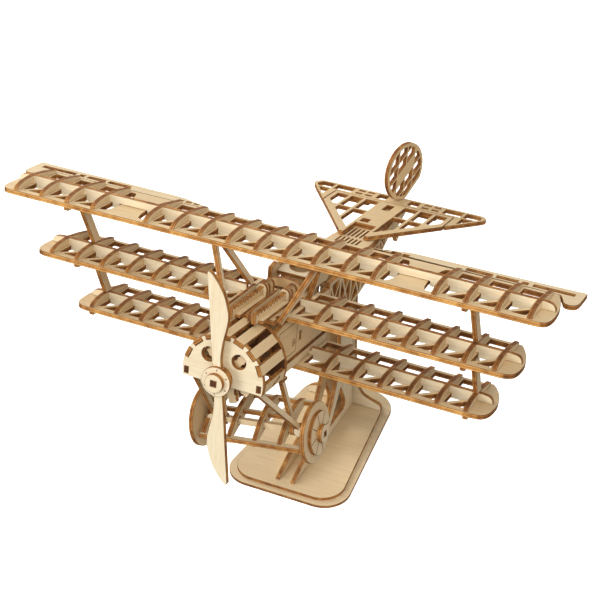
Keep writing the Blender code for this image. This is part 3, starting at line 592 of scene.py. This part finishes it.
wells = [circle(4.6, 28, (12.0 * math.cos(math.radians(a)), 12.0 * math.sin(math.radians(a)))) for a in (30, 90, 150)]
plate("cowl_rear_disc", [cowl_disc(False), circle(2.4, 24)] + wells, "XZ", -(-0.4 + PLY / 2), AIR,
      node="cowl_rear_ring", shift=(0, 0, THRUST_Z), materials=(EDGE, EDGE, SCORCH))
for i, angle in enumerate(STAVE_ANGLES):
    a = math.radians(angle)
    closed_slot = not 0 < angle < 180
    y0 = COWL_FRONT_Y + PLY + 0.1 if closed_slot else COWL_FRONT_Y - 0.15
    y1 = -0.5
    r = COWL_R - 1.0
    radial, tangent = Vector((math.cos(a), 0, math.sin(a))), Vector((-math.sin(a), 0, math.cos(a)))
    basis = Matrix((Vector((0, 1, 0)), tangent.cross(Vector((0, 1, 0))).cross(Vector((0, 1, 0))) * -1, radial)).transposed()
    basis = Matrix((Vector((0, 1, 0)), radial.cross(Vector((0, 1, 0))), radial)).transposed()
    w = 2.6
    loops = [rect(y0, y1, -w, w)]
    if closed_slot:
        loops.append(line((y0 + 9.0, -1.6), (y0 + 16.0, 0.8), 1.1))
    # tone 0.75 darkens the staves, partly as painted shade.
    plate(f"cowl_stave_plate_{i + 1}", loops, basis, 0, AIR, node=f"cowl_stave_{i + 1}", thickness=2.0,
          shift=tuple(radial * r + Vector((0, 0, THRUST_Z))), tone=0.75)

star = []
for k in range(9):
    a = 2 * math.pi * k / 9 + math.pi / 2
    for r, da in ((8.0, -0.33), (10.0, -0.20), (11.0, -0.17), (11.2, -0.21), (12.4, -0.19), (12.6, -0.16), (14.6, -0.16),
                  (15.0, -0.11), (15.0, 0.11), (14.6, 0.16), (12.6, 0.16), (12.4, 0.19), (11.2, 0.21), (11.0, 0.17), (10.0, 0.20)):
        star.append((r * math.cos(a + da), r * math.sin(a + da)))
plate("rotary_star", [star, square(3.2)], "XZ", 19.6, PROP, "propeller", "rotary_engine", tone=0.5)
plate("rotary_star_rear", [[(x * 0.94, z * 0.94) for x, z in star], square(3.2)], "XZ", 15.6, PROP, "propeller", tone=0.5)

edge = smooth([(-2.6, 4.0), (-3.3, 8.0), (-4.8, 19.2), (-7.3, 39.0), (-9.0, 51.6)], 2) + smooth(
    [(-9.1, 52.8), (-8.6, 53.7), (-7.4, 53.4), (-5.0, 51.0), (-2.5, 48.0), (0.4, 43.5), (1.9, 39.3), (3.2, 35.0), (3.4, 31.0),
     (2.4, 25.0), (1.1, 18.3), (0.8, 9.0), (2.6, 4.0)], 2)
blades = edge + [(-x, -z) for x, z in edge]
plate("propeller_blades", [blades], "XZ", 28.25, PROP, "propeller", "propeller", tone=0.0, turn=math.pi / 2)
plate("hub_front_disc", [circle(7.5, 56), square(3.2)], "XZ", 30.25, PROP, "propeller", thickness=1.9, tone=0.0)
plate("hub_rear_disc", [circle(6.0, 48), square(3.2)], "XZ", 26.2, PROP, "propeller", thickness=1.9, tone=0.3)
plate("hub_boss_disc", [circle(4.7, 48), square(3.2)], "XZ", 32.4, PROP, "propeller", thickness=2.4, tone=0.1)
shaft_materials = (EDGE, SCORCH, SCORCH)
plate("propeller_shaft_end", [square(3.0)], "XZ", 21.0, PROP, "propeller", thickness=25.2, chamfer=0.2, materials=shaft_materials)
for k in range(6):
    a = math.radians(60 * k + 28)
    c, s = math.cos(a), math.sin(a)
    engraving(f"hub_mark_{k}", [line((c * 5.6, s * 5.6), (c * 6.5, s * 6.5), 0.45)], "XZ", 31.22, PROP, "propeller")

# ----------------------------------------------------------------- the fuselage
front_side = [(2.3, -61.0), (65.5, -61.0), (65.5, -38.0), (49.0, -37.4), (10.0, -38.6), (2.3, -40.0)]
for side, sign in (("left", -1), ("right", 1)):
    # tone 0.95 darkens the side panels to a deep tan as painted shade.
    plate(f"side_panel_{side}", [front_side, rect(31.0, 33.2, -54.2, -49.4)], "YZ", sign * 13.0, AIR,
          node=f"fuselage_side_front_{side}", tone=0.95)
    off = sign * 14.27
    box = [(6.5, -58.6), (27.5, -58.6), (27.5, -42.2), (6.5, -42.2)]
    for k in range(4):
        engraving(f"side_lines_{side}_{k}", [line(box[k], box[(k + 1) % 4], 0.3)], "YZ", off, AIR)
    engraving(f"side_ring_{side}", [circle(2.0, 28, (24.4, -53.0)), circle(1.6, 28, (24.4, -53.0))], "YZ", off, AIR)
    engraving(f"side_ring_inner_{side}", [circle(0.8, 20, (24.4, -53.0)), circle(0.45, 20, (24.4, -53.0))], "YZ", off, AIR)
    cheek = [(2.6, -61.6), (64.8, -61.6), (64.8, -66.2), (16.0, -66.2), (8.0, -65.0), (2.6, -63.4)]
    plate(f"side_cheek_{side}", [cheek, line((9.0, -63.6), (15.0, -63.0), 0.9)], "YZ", sign * 14.9, AIR, thickness=1.1, tone=0.6)


def belly(y):
    run = ((66.0, -61.0), (100.0, -61.0), (122.8, -54.8), (154.6, -46.4), (190.0, -38.4))
    for (y0, z0), (y1, z1) in zip(run, run[1:]):
        if y <= y1:
            return z0 + (z1 - z0) * (y - y0) / (y1 - y0)
    return run[-1][1]


def aft_half_width(y):
    return 12.8 - 0.02 * (y - 66.0) if y < 128.0 else 11.56 - 9.2 * (y - 128.0) / 62.0


AFT_TOP = -35.6
stations = [66.0, 82.25, 98.25, 113.25, 128.75, 144.75, 158.0, 170.0, 180.0, 190.0]
aft_outline = [(y, belly(y)) for y in stations] + [(y, AFT_TOP) for y in reversed(stations)]
aft_cells = []
for k, (ya, yb) in enumerate(((68.5, 81.0), (83.5, 97.0), (99.5, 112.0), (114.5, 126.5), (131.0, 143.5), (146.0, 158.0))):
    za, zb = belly(ya) + 2.6, belly(yb) + 2.6
    window = [(ya, za), (yb, zb), (yb, AFT_TOP - 2.4), (ya, AFT_TOP - 2.4)]
    rise = math.degrees(math.atan2(AFT_TOP - 2.4 - za, yb - ya))
    centre = ((ya + yb) / 2, (za + zb + 2 * (AFT_TOP - 2.4)) / 4)
    aft_cells += lattice(window, [(centre, rise), (centre, -rise)], 1.9, 1.5)
for side, sign in (("left", -1), ("right", 1)):
    plate(f"aft_side_{side}", [aft_outline] + aft_cells, "YZ", 0, AIR, node=f"fuselage_side_aft_{side}", tone=0.9,
          bend=lambda y, s=sign: s * aft_half_width(y))
for k, y in enumerate((66.8, 97.4, 127.6)):
    half, top, bottom = aft_half_width(y) - 1.5, AFT_TOP - 0.3, belly(y) + 0.4
    plate(f"former_{k}", [rect(-half, half, bottom, top), rect(-half + 3, half - 3, bottom + 3.2, top - 3)] if k != 1
          else [rect(-half, half, bottom + 12, top)], "XZ", -y - 1.2, AIR, thickness=2.0, tone=0.8)

plate("floor_plate", [rect(-14.2, 14.2, 2.5, 100.0)], "XY", -62.65, AIR, node="fuselage_floor", tone=0.8, turn=math.pi / 2)
deck = [(-12.4, 2.3), (12.4, 2.3), (12.4, 6.0), (11.0, 6.0), (11.0, 9.0), (12.4, 9.0), (12.4, 44.0), (6.0, 44.0), (6.0, 40.0),
        (-6.0, 40.0), (-6.0, 44.0), (-12.4, 44.0), (-12.4, 9.0), (-11.0, 9.0), (-11.0, 6.0), (-12.4, 6.0)]
plate("deck_front_plate", [deck], "XY", -35.25, AIR, node="fuselage_deck_front", tone=0.7, turn=math.pi / 2)
aft_deck = [(aft_half_width(y) + 0.6, y) for y in (80.0, 128.0, 150.0, 189.0)]
slits = [rect(x, x + 0.9, a, b) for x in (-7.0, -4.6, -2.2, 0.2, 2.6, 5.0) for a, b in ((86, 106), (109, 128), (131, 145))]
plate("deck_aft_plate", [aft_deck + mirror(aft_deck)] + slits, "XY", -34.05, AIR, node="fuselage_deck_aft", tone=0.75, turn=math.pi / 2)

cockpit_side = [(45.0, -33.4), (66.0, -33.4), (69.0, -31.0), (66.5, -28.0), (63.0, -29.2), (60.0, -26.0), (55.0, -27.2),
                (51.0, -24.4), (45.0, -25.6)]
for side, sign in (("left", -1), ("right", 1)):
    plate(f"cockpit_cheek_{side}", [cockpit_side], "YZ", sign * 11.0, AIR, node=f"cockpit_side_{side}", tone=0.8)
arch = [(-9.3, -33.5), (9.3, -33.5)] + [(9.3 * math.cos(math.pi * k / 24), -31.8 + 3.6 * math.sin(math.pi * k / 24)) for k in range(25)]
plate("cockpit_front_arch", [arch], "XZ", -(41.6 + PLY / 2), AIR, node="cockpit_bulkhead", tone=0.9)
rim = [(-9.6, 43.6)] + [(-9.6 + 19.2 * k / 2, 43.6) for k in (1, 2)] + [(9.6, 56.0)] + [
    (9.6 * math.cos(math.pi * k / 20), 56.0 + 9.6 * math.sin(math.pi * k / 20)) for k in range(1, 20)] + [(-9.6, 56.0)]
opening = [(6.4, 46.6 + 6.4)] + [(6.4 * math.cos(math.pi * k / 20), 55.4 + 6.4 * math.sin(math.pi * k / 20)) for k in range(21)] + [
    (6.4 * math.cos(math.pi * (1 + k / 20)), 53.0 + 6.4 * math.sin(math.pi * (1 + k / 20))) for k in range(20)]
tilt = Matrix.Rotation(math.radians(10), 3, "X")
plate("cockpit_coaming", [rim, opening], tilt, 0, AIR, shift=(0, 8.0, -37.4), thickness=2.0, tone=0.25)
plate("cockpit_seat_back", [rect(-8.0, 8.0, -52.0, -30.6)], "XZ", -66.0, AIR, thickness=2.0, tone=0.9)

# Guns: a perforated jacket plate on edge, shelf under it, round-topped receiver across it.
jacket = [(-8.0, -33.7), (37.0, -33.7), (37.0, -28.2), (35.8, -27.2), (26.4, -27.2), (25.0, -28.6)]
for k in range(9):
    y = 22.6 - 3.4 * k
    jacket += [(y, -28.6), (y - 0.35, -29.5), (y - 1.35, -29.5), (y - 1.7, -28.6)]
jacket += [(-8.0, -28.6)]
trough = [(-6.0, -33.7), (25.0, -33.7), (25.0, -27.6), (-3.0, -28.4), (-6.0, -30.0)]
for side, sign in (("left", -1), ("right", 1)):
    x = sign * 6.2
    plate(f"gun_jacket_{side}", [jacket], "YZ", x, AIR, node=f"gun_{side}", tone=0.7, burn_and_shade=0.3)
    plate(f"gun_trough_{side}", [trough], "YZ", x - 3.4, AIR, thickness=1.6, tone=0.4, burn_and_shade=0.35)
    plate(f"gun_shelf_{side}", [rect(x - 2.4, x + 3.8, -5.0, 24.0)], "XY", -33.0, AIR, thickness=1.5, tone=0.5, turn=math.pi / 2)
    for k, (y, r, z) in enumerate(((26.4, 3.0, -29.9), (30.4, 2.5, -30.2), (34.6, 2.8, -30.0))):
        plate(f"gun_receiver_{side}_{k}", [[(x - r, -33.6), (x + r, -33.6)] + [(x + r * math.cos(math.pi * i / 20), z + r * math.sin(math.pi * i / 20)) for i in range(21)]],
              "XZ", -y, AIR, thickness=1.8, tone=0.1 if k == 0 else 0.6, burn_and_shade=0.3)

# -------------------------------------------------------------------- the tail
half = [(6.3, 147.0), (6.3, 129.0), (8.7, 129.0), (37.2, 171.4), (37.2, 190.6)]
window = [(8.2, 137.5), (34.4, 175.4), (34.4, 187.8), (8.2, 187.8)]
cells = lattice(window, [((0, 168.5), 0), ((17.2, 0), 90), ((26.6, 0), 90)], 2.1, 2.0)
tail_holes = cells + [mirror(c) for c in cells] + [rect(-5.2, -0.4, 150.0, 156.0), rect(-2.2, 2.2, 176.0, 186.0)]
plate("tailplane_plate", [half + mirror(half)] + tail_holes, "XY", -31.25, AIR, node="tailplane", tone=0.85, burn_and_shade=0.32)
half = [(37.7, 190.8), (37.7, 172.4)] + smooth([(39.0, 173.8), (53.2, 194.8), (54.6, 198.4), (53.6, 201.4), (51.0, 203.8)], 1) + [(44.0, 204.0)]
elevator_holes = [rect(7.0, 13.0, 193.4, 201.6)]
elevator_holes += [rect(a, a + 4.0, b, b + 2.4) for a in (16.0, 22.2) for b in (193.6, 199.0)]
elevator_holes += lattice([(29.0, 193.4), (40.0, 193.4), (40.0, 178.2), (51.4, 195.6), (51.4, 199.6), (49.6, 201.6), (29.0, 201.6)][:2]
                          + [(40.0, 201.6), (29.0, 201.6)], [], 2.0, 1.0)
elevator_holes += lattice([(42.0, 181.0), (51.6, 196.0), (51.4, 199.2), (49.6, 201.6), (42.0, 201.6)], [((0, 192.6), 0)], 2.0, 1.0)
elevator_holes += [mirror(h) for h in elevator_holes]
plate("elevator_plate", [half + mirror(half)] + elevator_holes, "XY", -31.25, AIR, node="elevator", tone=0.9, burn_and_shade=0.32)
for side, sign in (("left", -1), ("right", 1)):
    plate(f"elevator_joiner_{side}", [rect(*sorted((sign * 15.0, sign * 27.2)), 188.2, 193.0)], "XY", -33.3, AIR, thickness=1.4, tone=0.7)

cut = (math.cos(math.radians(-50)), math.sin(math.radians(-50)))
rim = clip(circle(RUDDER_R, 72), cut, 15.4)
inside = clip(circle(RUDDER_R - 2.3, 72), cut, 13.1)
bars = [((u, 0), 90) for u in (-7.6, 0.0, 7.6)] + [((0, v), 38) for v in (-11.4, -3.8, 3.8, 11.4)]
open_cells = []
for cell in lattice(inside, bars, 1.25, 1.2):
    cu, cv = sum(p[0] for p in cell) / len(cell), sum(p[1] for p in cell) / len(cell)
    if math.hypot(cu, cv) > 5.2:
        open_cells.append(cell)
plate("rudder_plate", [rim] + open_cells, "YZ", 0, RUDD, "rudder_blade", "rudder", tone=1.0, burn_and_shade=0.4)
skid = [(178.0, -41.6), (192.4, -38.8), (192.4, -33.0), (216.0, -34.4), (214.0, -39.0), (200.0, -46.0), (203.0, -55.0),
        (200.0, -56.4), (194.0, -48.0), (184.0, -45.4)]
plate("tail_skid_plate", [skid], "YZ", 0, AIR, node="tail_skid", tone=0.8)

# ------------------------------------------------------------ the undercarriage
roll = Matrix.Rotation(math.radians(-8), 3, "Y")


def on_gear(point):
    return tuple(roll @ Vector(point) + Vector(GEAR_AT))


for side, sign in (("left", -1), ("right", 1)):
    strut(f"gear_front_{side}", (sign * 16.5, -19.0, -62.6), on_gear((sign * 24.0, 0, 0)), 2.8, AIR, f"gear_strut_front_{side}", short=3.9)
    plate(f"gear_lug_{side}", [rect(*sorted((sign * 12.0, sign * 19.4)), 2.9, 8.9)], "XY", -64.9, AIR, thickness=1.7, tone=0.6)
    strut(f"gear_rear_{side}", (sign * 17.5, 5.9, -65.6), on_gear((sign * 19.6, 0, 0)), 2.8, AIR, f"gear_strut_rear_{side}", short=3.9)
    for k, x in enumerate((24.0, 19.6)):
        plate(f"gear_eye_{side}_{k}", [circle(3.7 - 0.5 * k, 32), circle(2.3, 24)], "YZ", sign * x, GEAR, thickness=2.7, tone=0.05)
    plate(f"gear_button_{side}", [circle(2.9, 32)], "XZ", 3.8, GEAR, shift=(sign * 24.6, 0, 1.0), thickness=2.0, tone=0.0)
    for k, (r, a, t) in enumerate(((WHEEL_R, 1.2, 2.4), (11.4, 3.45, 2.0), (4.8, 5.7, 2.4))):
        plate(f"wheel_{side}_disc_{k}", [circle(r, 72 if k == 0 else 48), square(3.15)], "YZ", sign * (WHEEL_X + a), GEAR, "wheelset",
              f"wheel_{side}" if k == 0 else None, thickness=t, tone=(0.75, 0.6, 0.4)[k], turn=0.6 * k)
    for k in range(8):
        a = 2 * math.pi * k / 8 + 0.2
        c, s = math.cos(a), math.sin(a)
        engraving(f"wheel_{side}_spoke_{k}", [line((c * 5.0, s * 5.0), (c * 10.9, s * 10.9), 0.35)], "YZ", sign * (WHEEL_X + 4.49), GEAR, "wheelset")
plate("axle_bar", [square(3.0)], "YZ", 0, GEAR, "wheelset", "axle", thickness=74.4, chamfer=0.2, materials=(EDGE, FACE, SCORCH), tone=0.5)

arc = [(-11.0 + 32.0 * t, -5.2 + 13.0 * t + 6.0 * math.sin(math.pi * t) ** 0.8) for t in [k / 24 for k in range(25)]]
under = [(y, z - 3.0 - 5.2 * math.sin(math.pi * (i / 24))) for i, (y, z) in enumerate(arc)]
for i, x in enumerate((-27.0, -12.4, 2.0, 16.0)):
    plate(f"axle_fairing_rib_{i}", [arc + list(reversed(under)), circle(2.4, 24)], "YZ", x, GEAR, tone=0.5)
plate("axle_fairing_front", [rect(-28.6, 28.2, -12.4, -8.2)], "XY", -5.9, GEAR, node="axle_fairing", thickness=2.3, tone=0.1)
plate("axle_fairing_mid", [rect(-28.3, 17.2, 4.2, 6.6)], "XY", 3.2, GEAR, thickness=2.3, tone=0.1)
plate("axle_fairing_rear", [rect(-28.3, 26.0, 17.4, 20.2)], "XY", 6.6, GEAR, thickness=2.3, tone=0.1)

# ------------------------------------------------------------------- the stand
low_base = rounded([(-37.4, -53.75), (37.4, -53.75), (26.6, 53.75), (-26.6, 53.75)], (17, 17, 16, 16), 16)
top_base = rounded([(-33.4, -50.2), (33.4, -50.2), (22.4, 46.8), (-22.4, 46.8)], (15, 15, 13, 13), 16)
plate("stand_lower", [low_base], "XY", 0.85, WORLD, node="stand_lower_plate", thickness=1.7, tone=0.5, turn=0.0)
plate("stand_upper", [top_base], "XY", 2.75, WORLD, node="stand_upper_plate", thickness=1.8, tone=0.6, turn=0.0)
column = [(31.0, -166.45), (110.6, -166.45), (110.4, -158.0), (109.2, -140.0), (108.6, -110.0), (108.2, -60.4),
          (91.0, -56.8)] + smooth([(91.4, -92.0), (92.4, -108.0), (91.4, -122.0), (88.1, -135.3), (83.5, -143.5), (78.3, -152.4), (74.0, -155.4),
          (66.0, -156.6), (56.0, -157.8), (44.0, -160.6), (37.0, -163.5), (31.0, -166.0)], 2)
opening = smooth([(93.0, -142.0), (99.4, -154.5), (100.0, -158.7), (97.4, -161.0)], 1) + smooth([(78.5, -160.4), (83.0, -155.0), (88.0, -149.0), (93.0, -142.0)], 1)[:-1]
for side, sign in (("left", -1), ("right", 1)):
    plate(f"stand_column_plate_{side}", [column, opening], "YZ", sign * 4.5, WORLD, node=f"stand_column_{side}",
          shift=(0, SHIFT_Y, SHIFT_Z), tone=0.45, turn=math.pi / 2)
arm = [(23.4, -166.45)] + smooth([(23.4, -165.6), (23.2, -163.0), (21.0, -161.6), (16.6, -160.4), (11.6, -158.0), (8.9, -153.6), (7.4, -146.0),
       (6.6, -130.0), (6.4, -82.0)], 2)
plate("stand_cross", [arm + mirror(arm)], "XZ", -(111.0 + PLY / 2 + SHIFT_Y), WORLD, node="stand_cross_plate",
      shift=(0, 0, SHIFT_Z), tone=0.0)

# ---------------------------------------------------------------------- studio
scene = bpy.context.scene
mesh = bpy.data.meshes.new("studio_floor")
bm = bmesh.new()
bmesh.ops.create_grid(bm, x_segments=2, y_segments=2, size=6.0)
bm.to_mesh(mesh)
bm.free()
floor = bpy.data.objects.new("studio_floor", mesh)
floor.location = (0, 0, -0.0004)
floor.visible_diffuse = False
floor.visible_glossy = False
scene.collection.objects.link(floor)
m = Nodes("studio_floor")
m.bsdf.inputs["Base Color"].default_value = (0.93, 0.93, 0.925, 1)
m.bsdf.inputs["Roughness"].default_value = 0.9
m.bsdf.inputs["Specular IOR Level"].default_value = 0.1
m.bsdf.inputs["Emission Color"].default_value = (1, 1, 1, 1)
m.bsdf.inputs["Emission Strength"].default_value = 0.85
mesh.materials.append(m.mat)

world = bpy.data.worlds.new("studio")
scene.world = world
world.use_nodes = True
backdrop = world.node_tree.nodes["Background"]
backdrop.inputs[0].default_value = (1.0, 1.0, 1.0, 1)
# White all round the horizon, dim overhead and underneath.
where = world.node_tree.nodes.new("ShaderNodeTexCoord")
part = world.node_tree.nodes.new("ShaderNodeSeparateXYZ")
height = world.node_tree.nodes.new("ShaderNodeMath")
height.operation = "ABSOLUTE"
fade = world.node_tree.nodes.new("ShaderNodeMapRange")
for socket, value in (("From Min", 0.15), ("From Max", 0.30), ("To Min", 1.0), ("To Max", 0.20)):
    fade.inputs[socket].default_value = value
world.node_tree.links.new(where.outputs["Generated"], part.inputs[0])
world.node_tree.links.new(part.outputs["Z"], height.inputs[0])
world.node_tree.links.new(height.outputs[0], fade.inputs["Value"])
world.node_tree.links.new(fade.outputs["Result"], backdrop.inputs[1])


def area_light(name, at, target, size, power, colour=(1, 1, 1)):
    data = bpy.data.lights.new(name, "AREA")
    data.shape = "SQUARE"
    data.size = size
    data.energy = power
    data.color = colour
    obj = bpy.data.objects.new(name, data)
    obj.location = at
    obj.rotation_euler = (Vector(target) - Vector(at)).to_track_quat("-Z", "Y").to_euler()
    scene.collection.objects.link(obj)


area_light("key", (-0.55, -1.25, 0.62), (0, 0, 0.10), 0.7, 9.2, (1.0, 0.985, 0.96))
area_light("top", (-0.1, 0.15, 1.3), (0, 0, 0.1), 0.9, 3.8)
area_light("side", (-0.75, 0.30, 0.50), (0, 0, 0.02), 0.4, 4.2, (1.0, 0.97, 0.90))
area_light("fill", (0.42, -0.72, 0.95), (0, 0, 0.05), 0.5, 6.4, (1.0, 0.955, 0.86))

camera = bpy.data.cameras.new("camera")
camera.sensor_width = 36
camera.lens = 90.1
camera.clip_start = 0.02
camera.clip_end = 30
cam = bpy.data.objects.new("camera", camera)
cam.location = (0.2759, -0.6114, 0.5444)
cam.rotation_euler = (math.radians(56.24), 0, math.radians(25.22))
scene.collection.objects.link(cam)
scene.camera = cam
scene.view_settings.view_transform = "Standard"
